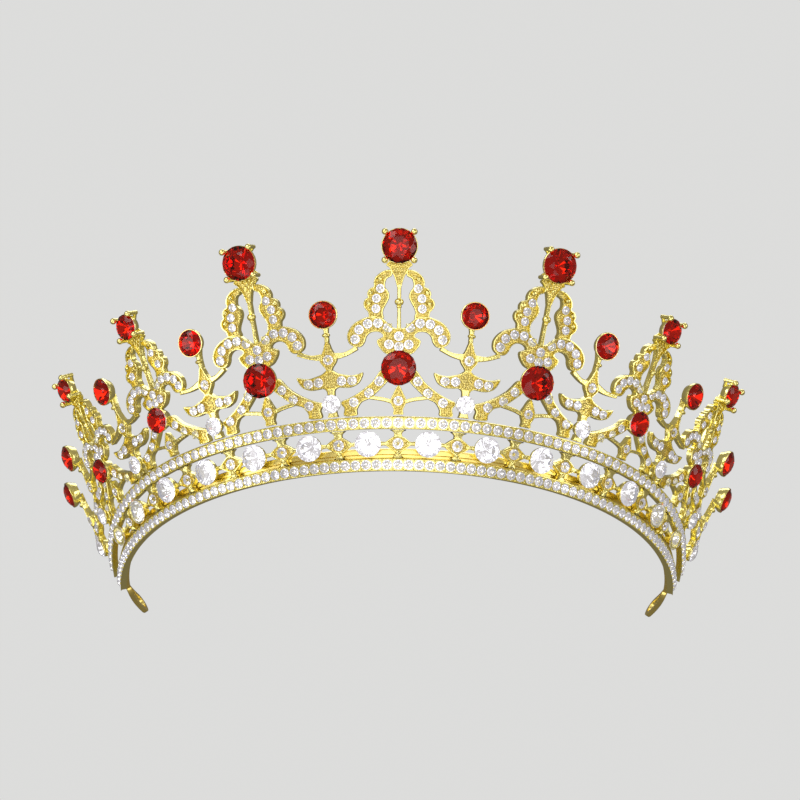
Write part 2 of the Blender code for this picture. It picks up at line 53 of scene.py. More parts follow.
MM = 0.001
FRONT_RADIUS = 67.4
END_OPENING = 0.29
PITCH = 13.6
HALF_LENGTH = 8.1 * PITCH
FLARE = math.radians(26.8)
EYELET_RADIUS = 45.0
CURVE_STEP = 0.5
CURVE_SPARE = 10.0

GAP = 0.3
BACK = -0.9
FRONT = 0.5
FLOOR = -0.15

RAIL_HEIGHT = 3.0
RAIL_TIP_SHARE = 0.75
RAIL_SEGMENTS = 45
RAIL_STONE = 2.42
RAIL_STONES_A_SIDE = 44
RAIL_END_MARGIN = 1.4
RAIL_CUTS = 239
BAND_STONE = 6.2
STONE_OVERHANG = 0.8
BAND_GAP = BAND_STONE + 2 * GAP
BAND_TOP = 2 * RAIL_HEIGHT + BAND_GAP
BAND_STONES_A_SIDE = 7
STONE_STEP = HALF_LENGTH / 8.26
DROP_START = 0.49 * HALF_LENGTH
DROP_POWER = 2.17
FOOT_ZONE = 6.0

STRIP_WIDTH = 3.6
STRIP_THICKNESS = 1.2
STRIP_FOOT = 1.6
STRIP_CUTS = 199
EYELET_LENGTH = 17.0
EYELET_WIDTH = 5.6
EYELET_NECK = 3.5
EYELET_BAR = 1.15
EYELET_EDGE = 0.35
EYELET_OVERLAP = 0.8

LARGE_RED = 8.3
SMALL_RED = 6.2
FLOWER_RED = 6.3
BASE_STONE = 4.4
SMALL_STONE = 2.32
STONE_DEPTH_SHARE = 0.26
STONE_SEAT = 0.5
GIRDLE_SHARE = 0.55
NECK_TO_STONE_SHARE = 0.42
CUP_FOOT_SHARE = 0.72
HIGH_CUP_FOOT = -0.2
BAND_GIRDLE = 1.6
BASE_GIRDLE = 1.5
SMALL_GIRDLE = 0.66
LOZENGE_GIRDLE = 0.72
LOZENGE_STONE = 2.64
CLAW_REACH = 0.62
CLAW_BALL = 0.78
RAIL_BEAD = 0.24
RAIL_BEAD_HEIGHT = 0.60
GRAIN = 0.17
GRAIN_HEIGHT = 0.56

# Turns from one stone to the next, in radians, so that neighbours glint differently.
RAIL_TWIST = 2.4
ROW_TWIST = 1.9
RED_TWIST = 0.2

FLEUR_PLACES = ((0.0, 1.0), (2.08, 0.985), (4.06, 0.85), (5.94, 0.80))
LARGE_FLEURS = 2
SPRIG_PLACES = (
    (1.035, 1.0, 0.0),
    (3.05, 0.98, 0.0),
    (4.96, 0.95, 2.0),
    (6.74, 0.89, 9.0),
    (7.72, 0.85, 7.0),
)

# Places of the castings' two finishes. The grained one carries painted shade: darker between its grains and
# over the sunk floors.
POLISHED, GRAINED_AND_SHADED = 0, 1

# Cross-section of a cast edge: how far in from the ring before, and how high there.
RIM = ((0.0, 0.40), (0.04, 0.60), (0.05, 0.68), (0.21, 0.70), (0.05, 0.62), (0.04, 0.46), (0.03, FLOOR))
FINE_RIM = ((0.0, 0.40), (0.04, 0.56), (0.05, 0.63), (0.13, 0.63), (0.05, 0.58), (0.03, 0.46), (0.03, 0.1))
DOME = ((0.0, 0.34), (0.05, 0.47), (0.09, 0.57), (0.14, 0.63))
GROOVED = ((0.0, 0.34), (0.04, 0.48), (0.06, 0.55), (0.06, 0.53), (0.04, 0.42))

# Cross-section of a rail's edge: how far in from the edge, and how high there.
RAIL_RIM = (
    (0.0, 0.38), (0.04, 0.56), (0.11, 0.66), (0.19, 0.68), (0.25, 0.62), (0.28, 0.46), (0.30, FLOOR),
)

# Fleur: outlines (u, v) above the band. Halves run from the top to the foot.
FLEUR_NECK = 36.0
FLEUR_LOW_STONE = 11.0
ARM_END = 12.85
CROSSBAR = (
    (0.0, 20.3), (1.3, 20.4), (2.7, 21.6), (4.1, 22.8), (5.8, 23.2), (7.7, 22.9), (10.1, 21.9),
    (11.5, 20.5), (12.1, 18.9), (11.7, 17.1), (10.3, 16.1), (8.8, 16.1), (7.9, 17.2), (7.6, 18.3),
    (6.8, 19.2), (5.6, 19.5), (4.4, 19.3), (3.6, 18.5), (4.3, 18.0), (5.1, 17.5), (4.9, 16.4),
    (4.0, 15.1), (2.8, 14.2), (0.0, 13.6),
)
WING = (
    (1.7, 33.9), (3.2, 33.9), (4.6, 33.2), (5.6, 32.2), (6.0, 31.0), (5.9, 30.1), (6.8, 29.7),
    (7.4, 28.9), (7.45, 28.1), (7.3, 27.6), (8.0, 27.1), (8.35, 26.1), (8.0, 25.0), (7.2, 24.1),
    (6.9, 22.9), (5.2, 22.4), (3.6, 22.6), (3.8, 23.9), (3.5, 25.0), (2.9, 26.1), (2.3, 27.5),
    (2.5, 28.8), (3.3, 30.0), (3.2, 31.2), (2.8, 32.0), (1.8, 32.5),
)
SHIELD = (
    (0.0, 36.2), (2.3, 36.0), (3.1, 35.1), (2.3, 34.4), (1.75, 33.3), (1.2, 32.3), (0.8, 31.0),
    (0.5, 29.9), (0.0, 29.4),
)
ARM = (
    (3.4, 10.9), (4.3, 10.3), (5.3, 8.8), (6.4, 7.45), (8.8, 5.5), (11.4, 4.1), (12.85, 3.6),
    (12.85, 2.7), (12.2, 1.9), (12.2, 0.1), (9.4, 0.1), (9.3, 1.4), (8.4, 3.0), (7.2, 3.6),
    (6.2, 4.1), (4.5, 5.7), (2.95, 7.3), (2.2, 8.4), (2.4, 10.0),
)
PEAR = (
    (0.0, 7.0), (0.7, 6.1), (1.2, 5.0), (1.75, 3.9), (1.85, 3.1), (1.5, 2.1), (1.1, 1.2),
    (1.2, 0.1), (0.0, 0.1),
)
BRIDGE = ((1.4, 3.0), (3.3, 3.6), (6.8, 4.2))
FLEUR_PETAL_END = (10.1, 16.2)
PETAL_STONES = ((2.6, 20.4), (4.9, 21.5), (7.3, 21.4), (9.3, 20.1), (10.2, 17.9))
WING_STONES = ((4.4, 29.6), (5.3, 27.3), (5.4, 24.9))
SMALL_WING_STONES = ((4.4, 29.6), (5.6, 25.9))
WING_LOBES = ((4.5, 31.9), (6.6, 28.7), (7.1, 26.2))
SHIELD_DOTS = ((0.0, 35.1), (-1.1, 35.2), (1.1, 35.2), (-0.5, 34.2), (0.5, 34.2), (0.0, 33.2))
BOAT_STONES = ((0.0, 18.4), (2.3, 16.5), (0.0, 15.95))
ARM_STONES = ((4.5, 7.9), (6.85, 5.2), (10.4, 3.2))
PEAR_STONES = ((0.0, 3.3),)

# Sprig: outlines (u, v) above the band.
SPRIG_STONE = 24.1
SPRIG_BASE = 3.15
LEAVES = (
    (0.0, 11.4), (0.7, 11.1), (1.6, 10.4), (2.3, 10.1), (3.4, 9.8), (5.0, 9.5), (6.6, 9.7),
    (7.9, 10.1), (7.6, 8.9), (6.6, 7.5), (4.8, 6.7), (3.2, 6.7), (1.8, 6.8), (1.0, 6.2),
    (0.8, 5.0), (0.0, 4.6),
)
DIAMOND = (
    (0.0, 18.2), (0.55, 17.4), (1.0, 16.0), (1.6, 14.8), (2.1, 13.6), (1.7, 12.6), (1.0, 11.7),
    (0.6, 10.9), (0.0, 10.6),
)
LEAF_STONES = ((2.75, 8.36), (5.2, 8.3))
LINK_START = (1.3, 14.2)

# Lattice: outlines about the middle of each lozenge.
LOZENGE = ((0.0, 2.1), (1.5, 1.35), (3.0, 0.2), (3.0, -0.2), (1.5, -1.35), (0.0, -2.1))
LOZENGE_ROOM = 5.0
LOZENGE_MARGIN = 1.2

# Studio: each light's name, place, width, height and brightness, in metres.
PALE = (0.80, 0.80, 0.79, 1.0)
WARM = (0.82, 0.74, 0.60, 1.0)
SOFTBOXES = (
    ("front", (0.1, -1.15, -0.50), 1.2, 0.5, 1.35),
    ("key", (-0.60, -0.85, 0.50), 0.8, 0.6, 3.0),
    ("right", (1.05, -0.45, 0.05), 0.4, 0.9, 2.4),
    ("left", (-1.05, -0.45, -0.30), 0.5, 0.6, 2.4),
    ("top", (0.15, 0.35, 1.0), 0.8, 0.5, 2.0),
    ("low", (-0.1, -0.45, -0.95), 1.2, 0.5, 1.3),
)
LIGHTS_AIM = (0.0, 0.0, 0.02)
FLOOR_SIZE = 6.0

# Camera: its place from the middle of the foot's curve in millimetres, and its turns in radians.
CAMERA_PLACE = (0.0, -737.3, -349.6)
CAMERA_TILT = math.radians(26.533798)
CAMERA_SIDEWAYS = 0.00047
CAMERA_ROLL = 0.0079
CAMERA_LENS = 156.9


# ---------------------------------------------------------------- the cone

def curvature(s):
    """How sharply the foot turns at s, which counts from the middle of the front."""
    if s > HALF_LENGTH:
        return 1 / EYELET_RADIUS
    return (1 - END_OPENING * (s / HALF_LENGTH) ** 4) / FRONT_RADIUS


def trace_foot():
    """(heading, x, y) at every CURVE_STEP along the right half of the foot."""
    heading, x, y = 0.0, 0.0, 0.0
    stations = [(heading, x, y)]
    count = math.ceil((HALF_LENGTH + EYELET_NECK + EYELET_LENGTH + CURVE_SPARE) / CURVE_STEP)
    for step in range(count):
        turn = curvature((step + 0.5) * CURVE_STEP) * CURVE_STEP
        x += math.cos(heading + turn / 2) * CURVE_STEP
        y += math.sin(heading + turn / 2) * CURVE_STEP
        heading += turn
        stations.append((heading, x, y))
    return stations


FOOT_CURVE = trace_foot()


def foot_frame(s):
    """The foot at s, the direction along the band and the direction out of it."""
    side = -1 if s < 0 else 1
    place = min(abs(s) / CURVE_STEP, len(FOOT_CURVE) - 1.001)
    low = int(place)
    share = place - low
    heading, x, y = (a + (b - a) * share for a, b in zip(FOOT_CURVE[low], FOOT_CURVE[low + 1]))
    along = Vector((math.cos(heading), side * math.sin(heading), 0))
    outward = Vector((side * math.sin(heading), -math.cos(heading), 0))
    return Vector((side * x, y, 0)), along, outward


def bent(s, v, e):
    """The point at s along the foot, v up the flare and e out of its surface, before its shift."""
    foot, _, outward = foot_frame(s)
    reach = v * math.sin(FLARE) + e * math.cos(FLARE)
    rise = v * math.cos(FLARE) - e * math.sin(FLARE)
    return foot + outward * reach + Vector((0, 0, rise))


# The cone stands where the CAD lower rail does.
RAIL_FRONT = bent(HALF_LENGTH / RAIL_SEGMENTS, RAIL_HEIGHT, FRONT).y
SHIFT = Vector((0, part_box("lower_rail")[0].y / MM - RAIL_FRONT, 0))


def wrap(s, v, e):
    """The same point where the crown stands, in metres."""
    return (bent(s, v, e) + SHIFT) * MM


def spread(s, v):
    """How much longer a millimetre along the foot is at v up the flare."""
    return 1 + v * math.sin(FLARE) * curvature(abs(s))


def surface_matrix(s, v, e):
    """Stands a stone on the flare: X along the band, Y up the flare, Z outwards."""
    _, along, outward = foot_frame(s)
    up = outward * math.sin(FLARE) + Vector((0, 0, math.cos(FLARE)))
    out = outward * math.cos(FLARE) - Vector((0, 0, math.sin(FLARE)))
    turn = Matrix((along, up, out)).transposed().to_4x4()
    return Matrix.Translation(wrap(s, v, e)) @ turn @ Matrix.Scale(MM, 4)


def rail_drop(s):
    """How far the upper rail has come down towards the lower one at s."""
    share = max(0.0, (abs(s) - DROP_START) / (HALF_LENGTH - DROP_START))
    return (BAND_GAP - GAP) * share ** DROP_POWER


def band_gap(s):
    """The height of the open space between the rails at s."""
    return BAND_GAP - rail_drop(s)


def band_top(s):
    return BAND_TOP - rail_drop(s)


def band_middle(s):
    return RAIL_HEIGHT + band_gap(s) / 2


def rail_height(s):
    """The rails' own height at s. They thin towards the tips."""
    share = max(0.0, (abs(s) - DROP_START) / (HALF_LENGTH - DROP_START))
    return RAIL_HEIGHT * (1 - (1 - RAIL_TIP_SHARE) * share ** 4)


class Stand:
    """Where one motif stands: it turns the motif's flat (u, v) into a place on the cone."""

    def __init__(self, s, scale=1.0, lean=0.0):
        self.s = s
        self.turn = Matrix.Rotation(-lean, 2)
        self.pivot = Vector((0, SPRIG_BASE * scale))

    def place(self, u, v):
        """(s, v) on the cone. A motif's foot follows the slope of the upper rail."""
        u, v = self.turn @ (Vector((u, v)) - self.pivot) + self.pivot
        s = self.s + u / spread(self.s, band_top(self.s) + v)
        follow = max(0.0, 1 - v / FOOT_ZONE)
        return s, band_top(self.s) + (band_top(s) - band_top(self.s)) * follow + GAP + v

    def bend(self, shape):
        """Lays a flat motif on the cone. Its faces are turned outwards first, while it is in millimetres."""
        bmesh.ops.recalc_face_normals(shape, faces=shape.faces)
        for vertex in shape.verts:
            s, v = self.place(vertex.co.x, vertex.co.y)
            vertex.co = wrap(s, v, vertex.co.z)


# ---------------------------------------------------------------- materials

# Places of a Mix node's sockets for colours.
MIX_SHARE, MIX_FIRST, MIX_SECOND, MIX_COLOUR = 0, 6, 7, 2


class Number:
    """A number among the nodes, which takes part in Python sums."""

    def __init__(self, nodes, socket):
        self.nodes = nodes
        self.socket = socket

    def sum(self, operation, first, second):
        inputs = {0: first, 1: second}
        return Number(self.nodes, self.nodes.node("ShaderNodeMath", {"operation": operation}, inputs))

    def __add__(self, other):
        return self.sum("ADD", self, other)

    def __rsub__(self, other):
        return self.sum("SUBTRACT", other, self)

    def __mul__(self, other):
        return self.sum("MULTIPLY", self, other)

    __radd__ = __add__
    __rmul__ = __mul__


class Nodes:
    """The nodes of a finish or of the studio."""

    def __init__(self, tree):
        self.tree = tree

    def feed(self, socket, value):
        if isinstance(value, Number):
            value = value.socket
        if isinstance(value, bpy.types.NodeSocket):
            self.tree.links.new(value, socket)
        else:
            socket.default_value = value

    def node(self, kind, settings=None, inputs=None, output=0):
        """Adds a node, sets it, feeds its sockets and returns one output."""
        made = self.tree.nodes.new(kind)
        for name, value in (settings or {}).items():
            setattr(made, name, value)
        for name, value in (inputs or {}).items():
            self.feed(made.inputs[name], value)
        return made.outputs[output]

    def end_in(self, output, shader):
        self.feed(self.tree.nodes[output].inputs["Surface"], shader)


class Finish(Nodes):
    """A material and its nodes."""

    def __init__(self, name, **values):
        self.material = bpy.data.materials.new(name)
        self.material.use_nodes = True
        super().__init__(self.material.node_tree)
        self.shader = self.tree.nodes["Principled BSDF"]
        self.set(**values)

    def set(self, **values):
        for name, value in values.items():
            self.feed(self.shader.inputs[name.replace("_", " ")], value)

    def place(self):
        return self.node("ShaderNodeTexCoord", output="Object")

    def noise(self, size, detail=2.0):
        """Soft random patches about size millimetres across."""
        inputs = {"Vector": self.place(), "Scale": 1 / (size * MM), "Detail": detail}
        return Number(self, self.node("ShaderNodeTexNoise", inputs=inputs))

    def grains(self, size):
        """Distance to the middle of the nearest of many grains about size millimetres apart."""
        inputs = {"Vector": self.place(), "Scale": 1 / (size * MM), "Randomness": 0.7}
        return Number(self, self.node("ShaderNodeTexVoronoi", inputs=inputs, output="Distance"))

    def blend(self, share, first, second):
        """A colour that goes from the first to the second with share."""
        inputs = {MIX_SHARE: share, MIX_FIRST: (*first, 1), MIX_SECOND: (*second, 1)}
        return self.node("ShaderNodeMix", {"data_type": "RGBA"}, inputs, MIX_COLOUR)

    def bumps(self, height, depth, strength=1.0):
        """A normal for a surface that rises by up to depth millimetres with height."""
        inputs = {"Height": height, "Distance": depth * MM, "Strength": strength}
        return self.node("ShaderNodeBump", inputs=inputs)


def make_gold():
    """Polished rims and posts, grained floors darkened with painted shade between the grains and in their
    hollows, and the rolled strip of the headband.
    """
    polished = Finish("polished_gold", Metallic=1.0)
    patches = polished.noise(1.6)
    ripple = polished.noise(0.5, 3.0)
    polished.set(
        Base_Color=polished.blend(patches, (1.0, 0.92, 0.40), (0.97, 0.86, 0.29)),
        Roughness=patches * 0.14 + 0.08,
        Normal=polished.bumps(ripple, 0.12, 0.6),
    )
    grained_and_shaded = Finish("grained_shaded_gold", Metallic=1.0)
    grain = grained_and_shaded.grains(0.5)
    # The grained colour darkens from each grain's middle out to the gaps: painted shade in those gaps, and
    # its darker colour paints shade into the sunk floors.
    grained_and_shaded.set(
        Base_Color=grained_and_shaded.blend(grain * 1.2, (0.98, 0.86, 0.34), (0.70, 0.53, 0.11)),
        Roughness=grain * 0.2 + 0.16,
        Normal=grained_and_shaded.bumps(1 - grain, 0.15, 0.8),
    )
    rolled = Finish("rolled_gold", Metallic=1.0)
    patches = rolled.noise(3.0)
    scratches = rolled.noise(0.3, 4.0)
    rolled.set(
        Base_Color=rolled.blend(patches, (1.0, 0.86, 0.32), (0.94, 0.72, 0.18)),
        Roughness=patches * 0.2 + 0.14,
        Normal=rolled.bumps(scratches, 0.02, 0.4),
    )
    return polished.material, grained_and_shaded.material, rolled.material


def make_glass():
    """Clear and red glass, each with the foil behind it. The clear stones' silver foil also glows faintly, a
    painted light that brightens them.
    """
    clear = Finish(
        "clear_glass", Base_Color=(0.98, 0.99, 1.0, 1.0), Roughness=0.02, IOR=1.68, Transmission_Weight=1.0,
    )
    # The silver foil also glows faintly: painted light that brightens the clear stones.
    glowing_silver = Finish(
        "glowing_silver_foil", Base_Color=(0.86, 0.86, 0.90, 1.0), Roughness=0.07, Metallic=1.0,
        Emission_Color=(0.93, 0.92, 1.0, 1.0), Emission_Strength=0.18,
    )
    red = Finish(
        "red_glass", Base_Color=(0.88, 0.075, 0.022, 1.0), Roughness=0.02, IOR=1.38, Transmission_Weight=1.0,
    )
    ruby = Finish("red_foil", Base_Color=(0.86, 0.16, 0.07, 1.0), Roughness=0.08, Metallic=1.0)
    return [clear.material, glowing_silver.material], [red.material, ruby.material]


def make_finishes():
    polished, grained_and_shaded, rolled = make_gold()
    clear, red = make_glass()
    return {"cast": [polished, grained_and_shaded], "rolled": [rolled], "clear": clear, "red": red}


# ---------------------------------------------------------------- flat shapes

def symmetric(half):
    """A whole outline from its right half."""
    left = [(-u, v) for u, v in half[::-1] if u]
    return [*half, *left]


def mirrored(points):
    return [(-u, v) for u, v in points][::-1]


def between(a, b, c, d, t):
    """A place between b and c, on a smooth curve through all four."""
    return 0.5 * (2 * b + (c - a) * t + (2 * a - 5 * b + 4 * c - d) * t**2 + (3 * b - a - 3 * c + d) * t**3)


def rounded(points, spacing=0.45, samples=10):
    """A closed smooth outline through the points, with points of its own every spacing."""
    fine = []
    for index in range(len(points)):
        four = [Vector(points[(index + k - 1) % len(points)]) for k in range(4)]
        fine += [between(*four, step / samples) for step in range(samples)]
    return evenly(fine, spacing)


def evenly(points, spacing):
    """The closed outline again, with its points at equal distances."""
    lengths = [(b - a).length for a, b in zip(points, points[1:] + points[:1])]
    count = max(8, round(sum(lengths) / spacing))
    step = sum(lengths) / count
    found, index, passed = [], 0, 0.0
    for number in range(count):
        while passed + lengths[index] < number * step:
            passed += lengths[index]
            index += 1
        share = (number * step - passed) / lengths[index]
        found.append(points[index].lerp(points[(index + 1) % len(points)], share))
    return found


def strip_outline(stations, samples=3):
    """The outline of a bar through stations (u, v, half width)."""
    knots = [stations[0], *stations, stations[-1]]
    centres = []
    for stretch in zip(knots, knots[1:], knots[2:], knots[3:]):
        for step in range(samples):
            centres.append(tuple(between(*four, step / samples) for four in zip(*stretch)))
    centres.append(stations[-1])
    left, right = [], []
    for index, point in enumerate(centres):
        ahead = Vector(centres[min(index + 1, len(centres) - 1)][:2])
        behind = Vector(centres[max(index - 1, 0)][:2])
        side = (ahead - behind).normalized().orthogonal() * point[2]
        left.append(Vector(point[:2]) + side)
        right.append(Vector(point[:2]) - side)
    return evenly(left + right[::-1], 0.4)


def cast(shape, outline, profile, scale=1.0, floor_slot=POLISHED):
    """A flat casting: its outline stands up from the back, and the profile shapes its edge and floor."""
    points = [shape.verts.new((u * scale, v * scale, BACK)) for u, v in outline]
    base = shape.faces.new(points)
    raised = bmesh.ops.extrude_face_region(shape, geom=[base])["geom"]
    top = [item for item in raised if isinstance(item, bmesh.types.BMFace)][0]
    height = profile[0][1]
    bmesh.ops.translate(shape, verts=top.verts, vec=(0, 0, height - BACK))
    top.normal_update()
    if top.normal.z < 0:
        top.normal_flip()
    for inset, there in profile[1:]:
        bmesh.ops.inset_individual(shape, faces=[top], thickness=inset, depth=0, use_even_offset=False)
        bmesh.ops.translate(shape, verts=top.verts, vec=(0, 0, there - height))
        height = there
    top.material_index = floor_slot


def slice_along(shape, step=1.3):
    """Cuts the shape across u, so that it can bend."""
    reach = max(abs(vertex.co.x) for vertex in shape.verts)
    for cut in range(-int(reach / step), int(reach / step) + 1):
        bmesh.ops.bisect_plane(
            shape, geom=[*shape.verts, *shape.edges, *shape.faces], dist=1e-3,
            plane_co=(cut * step, 0, 0), plane_no=(1, 0, 0),
        )


def bead(shape, place, radius, flat=1.0, sides=8):
    """A round bead, or a squashed one."""
    bmesh.ops.create_uvsphere(
        shape, u_segments=sides, v_segments=max(4, sides // 2), radius=radius,
        matrix=Matrix.Translation(place) @ Matrix.Diagonal((1, flat, 1, 1)),
    )


def turned(shape, centre, profile, steps=28):
    """A ring turned about Z from a closed profile of (radius, height)."""
    points = [shape.verts.new((centre[0] + radius, centre[1], height)) for radius, height in profile]
    edges = [shape.edges.new(pair) for pair in zip(points, points[1:] + points[:1])]
    bmesh.ops.spin(
        shape, geom=[*points, *edges], cent=(*centre, 0), axis=(0, 0, 1), angle=2 * math.pi,
        steps=steps, use_merge=True,
    )


def cup(shape, centre, radius, rim, wall=0.25, low=BACK, steps=28):
    """A tapering cup, open at the back, that a stone drops into."""
    foot = radius * CUP_FOOT_SHARE
    outside = (foot, low), (radius - 0.1, rim - 0.9), (radius, rim - 0.6), (radius, rim - 0.07)
    inside = (radius - wall + 0.05, rim), (radius - wall, rim - 0.1), (foot - 0.5, low)
    turned(shape, centre, (*outside, (radius - 0.07, rim), *inside), steps)


def post(shape, foot, tip, foot_radius, tip_radius, sides=10):
    """A round post from foot to tip."""
    along = tip - foot
    turn = along.to_track_quat("Z", "Y").to_matrix().to_4x4()
    bmesh.ops.create_cone(
        shape, cap_ends=True, segments=sides, radius1=foot_radius, radius2=tip_radius, depth=along.length,
        matrix=Matrix.Translation((foot + tip) / 2) @ turn,
    )


# ---------------------------------------------------------------- stones

# Places of a stone's two finishes.
GLASS, FOIL = 0, 1


def ring(shape, radius, height, sides, turn=0.0):
    """The corners of one row of facets."""
    angles = (turn + 2 * math.pi * step / sides for step in range(sides))
    return [shape.verts.new((radius * math.cos(a), radius * math.sin(a), height)) for a in angles]


def brilliant(name, culet, sides=16):
    """A round brilliant of radius 1 with its girdle at z = 0: table, stars, kites and a pointed back."""
    table, middle, crown, girdle = 0.56, 0.80, 0.30, 0.05
    half = sides // 2
    turn = math.pi / half
    slope = crown / (1 - table)
    lift = crown - (middle * math.cos(turn) - table) * slope
    shape = bmesh.new()
    ring(shape, table, crown, half, turn)
    ring(shape, middle, lift, half)
    ring(shape, 1.0, 0.0, sides)
    bmesh.ops.convex_hull(shape, input=shape.verts)
    return finish_stone(shape, name, girdle, culet)


def small_cut(name, sides=8):
    """A small stone with a table, one row of facets and a pointed back."""
    shape = bmesh.new()
    ring(shape, 0.70, 0.22, sides)
    ring(shape, 1.0, 0.0, sides, math.pi / sides)
    bmesh.ops.convex_hull(shape, input=shape.verts)
    return finish_stone(shape, name, 0.06, 0.66)


def finish_stone(shape, name, girdle, culet):
    """Gives a crown of facets its girdle and its foiled back."""
    bmesh.ops.dissolve_limit(shape, angle_limit=math.radians(0.5), verts=shape.verts, edges=shape.edges)
    shape.normal_update()
    inside = min(shape.faces, key=lambda face: face.normal.z)
    raised = bmesh.ops.extrude_face_region(shape, geom=[inside])["geom"]
    base = [item for item in raised if isinstance(item, bmesh.types.BMFace)][0]
    bmesh.ops.translate(shape, verts=base.verts, vec=(0, 0, -girdle))
    bmesh.ops.delete(shape, geom=[inside], context="FACES_ONLY")
    point = bmesh.ops.poke(shape, faces=[base])["verts"][0]
    point.co = (0, 0, -girdle - culet)
    bmesh.ops.recalc_face_normals(shape, faces=shape.faces)
    for face in shape.faces:
        face.material_index = FOIL if face.normal.z < -0.05 else GLASS
    mesh = bpy.data.meshes.new(name)
    shape.to_mesh(mesh)
    shape.free()
    return mesh


def set_stone(shape, stone, matrix, radius):
    """Adds a copy of the stone to the shape."""
    before = len(shape.verts)
    shape.from_mesh(stone)
    shape.verts.ensure_lookup_table()
    place = matrix @ Matrix.Scale(radius, 4)
    for vertex in shape.verts[before:]:
        vertex.co = place @ vertex.co


# ---------------------------------------------------------------- pieces

def piece(name, shape, finishes, replaces=(), angle=38.0):
    """Turns a finished shape into an object that rides on the crown."""
    shape.normal_update()
    limit = math.radians(angle)
    for face in shape.faces:
        face.smooth = True
    for edge in shape.edges:
        edge.smooth = len(edge.link_faces) == 2 and edge.calc_face_angle(0.0) < limit
    mesh = bpy.data.meshes.new(name)
    shape.to_mesh(mesh)
    shape.free()
    for material in finishes:
        mesh.materials.append(material)
    item = bpy.data.objects.new(name, mesh)
    bpy.context.scene.collection.objects.link(item)
    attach(item, "root")
    if replaces:
        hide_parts(*replaces)


def rail_profile():
    """Cross-section of a rail, (v, e): a rounded rim on either side of a sunk floor."""
    top = [(RAIL_HEIGHT - v, e) for v, e in RAIL_RIM[::-1]]
    return [(0.0, BACK), *RAIL_RIM, *top, (RAIL_HEIGHT, BACK)]


def long_bar(profile, half_length, cuts):
    """A bar along u with this cross-section of (v, e)."""
    shape = bmesh.new()
    end = shape.faces.new([shape.verts.new((-half_length, v, e)) for v, e in profile])
    moved = bmesh.ops.extrude_face_region(shape, geom=[end])["geom"]
    points = [item for item in moved if isinstance(item, bmesh.types.BMVert)]
    bmesh.ops.translate(shape, verts=points, vec=(2 * half_length, 0, 0))
    long_edges = [e for e in shape.edges if abs(e.verts[0].co.x - e.verts[1].co.x) > half_length]
    bmesh.ops.subdivide_edges(shape, edges=long_edges, cuts=cuts, use_grid_fill=True)
    return shape


def make_rail(name, foot_of, level_foot, finishes):
    """A rail's channel. A level foot lets the crown stand flat on a table."""
    shape = long_bar(rail_profile(), HALF_LENGTH, RAIL_CUTS)
    bmesh.ops.recalc_face_normals(shape, faces=shape.faces)
    for vertex in shape.verts:
        s, v, e = vertex.co
        height = foot_of(s) + v * rail_height(s) / RAIL_HEIGHT
        if level_foot and v < 0.01:
            height = max(e, -0.2) * math.tan(FLARE)
        vertex.co = wrap(s, height, e)
    piece(name + "_channel", shape, finishes["cast"], [name])


def make_rail_stones(name, foot_of, stone, finishes):
    """One row of stones in a rail, with a bead above and below each joint."""
    stones, beads = bmesh.new(), bmesh.new()
    step = (HALF_LENGTH - RAIL_END_MARGIN) / (RAIL_STONES_A_SIDE + 0.5)
    for number in range(-RAIL_STONES_A_SIDE, RAIL_STONES_A_SIDE + 1):
        s = number * step
        size = RAIL_STONE * min(1.0, rail_height(s) / RAIL_HEIGHT + 0.03)
        height = foot_of(s) + rail_height(s) / 2
        twist = Matrix.Rotation(number * RAIL_TWIST, 4, "Z")
        set_stone(stones, stone, surface_matrix(s, height, SMALL_GIRDLE) @ twist, size / 2)
        if number == RAIL_STONES_A_SIDE:
            continue
        there = s + step / 2
        for side in (-1, 1):
            height = foot_of(there) + rail_height(there) / 2 + side * rail_height(there) / RAIL_HEIGHT
            matrix = surface_matrix(there, height, RAIL_BEAD_HEIGHT)
            bmesh.ops.create_icosphere(beads, subdivisions=1, radius=RAIL_BEAD, matrix=matrix)
    piece(name + "_stones", stones, finishes["clear"], angle=1.0)
    piece(name + "_beads", beads, finishes["cast"], angle=80.0)


def band_stone_places():
    """(name, s, diameter, cup diameter) of the large clear stones."""
    for side, sign in (("left", -1), ("right", 1)):
        for number in range(BAND_STONES_A_SIDE):
            s = sign * (number + 0.5) * STONE_STEP
            slope = abs(rail_drop(s + BAND_STONE / 2) - rail_drop(s - BAND_STONE / 2)) / BAND_STONE
            room = band_gap(s) - 2 * GAP - slope * BAND_STONE / 2
            diameter = min(BAND_STONE, room + 2 * STONE_OVERHANG)
            yield f"clear_stone_{side}_{number + 1}", s, diameter, min(diameter, room)


def make_lattice(stones, finishes):
    """Cups for the large stones, and lozenges with their struts between them."""
    shape, gems = bmesh.new(), bmesh.new()
    cups = {}
    for _, s, _, diameter in band_stone_places():
        cups[round(s / STONE_STEP - 0.5)] = diameter
        flat = bmesh.new()
        cup(flat, (0, 0), diameter / 2 - 0.1, BAND_GIRDLE - 0.45)
        bmesh.ops.recalc_face_normals(flat, faces=flat.faces)
        flat.transform(surface_matrix(s, band_middle(s), 0))
        add_shape(shape, flat)
    for number in range(1 - BAND_STONES_A_SIDE, BAND_STONES_A_SIDE):
        s = number * STONE_STEP
        squash = min(1.0, (band_gap(s) - LOZENGE_MARGIN) / LOZENGE_ROOM)
        flat = lozenge(s, squash, cups[number - 1], cups[number])
        follow_rails(flat, s)
        add_shape(shape, flat)
        place = surface_matrix(s, band_middle(s), LOZENGE_GIRDLE)
        set_stone(gems, stones["small"], place, LOZENGE_STONE / 2 * squash)
    piece("band_lattice_casting", shape, finishes["cast"], ["band_lattice"])
    piece("lozenge_stones", gems, finishes["clear"], angle=1.0)


